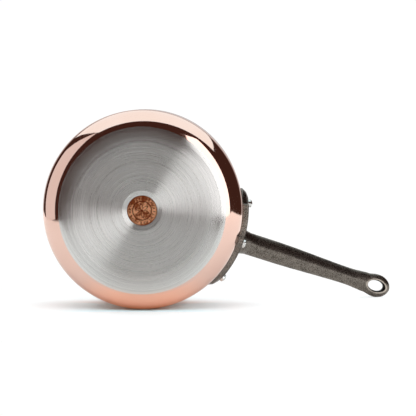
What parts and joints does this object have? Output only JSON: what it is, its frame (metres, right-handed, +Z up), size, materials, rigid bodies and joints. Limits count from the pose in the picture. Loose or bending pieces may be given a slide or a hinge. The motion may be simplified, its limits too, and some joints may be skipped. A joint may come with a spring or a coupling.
{
  "type": "saucepan with glass lid",
  "caption": "Straight-sided copper saucepan with steel lining and base disc, long riveted cast-iron handle with hanging eye, and lift-off domed glass lid.",
  "frame": {"origin": "centre of the round resting face of the base, on the plane it stands on", "axes": "+Z up along the pan's axis, +X from the pan's axis along the handle, +Y completing a right-handed set"},
  "size_m": [0.3823, 0.204, 0.1583],
  "materials": {
    "copper": "polished copper",
    "lining": "satin, turned",
    "base_steel": "spun brushed in circles",
    "badge_copper": "stamped, satin copper",
    "cast_iron": "pitted, oiled",
    "rivet_steel": "polished stainless",
    "lid_glass": "clear tempered",
    "band_steel": "polished stainless",
    "vent_steel": "polished stainless",
    "seal_rubber": "matte silicone rubber",
    "knob_base_steel": "polished stainless",
    "knob_iron": "fine cast, oiled",
    "washer_steel": "satin",
    "screw_steel": "zinc-bright"
  },
  "bodies": {
    "pan": {"copper_body": "copper", "steel_lining": "lining", "base_disc": "base_steel", "base_badge": "badge_copper", "handle": "cast_iron", "handle_rivets": "rivet_steel"},
    "lid": {"lid_glass": "lid_glass", "lid_band": "band_steel", "lid_vent": "vent_steel", "knob_seal": "seal_rubber", "knob_base": "knob_base_steel", "knob": "knob_iron", "knob_washer": "washer_steel", "knob_screw": "screw_steel"}
  },
  "joints": [
    {"name": "lid_lift", "type": "slide", "parent": "pan", "child": "lid", "axis": [0, 0, 1], "range_m": [0, 0.12]}
  ]
}
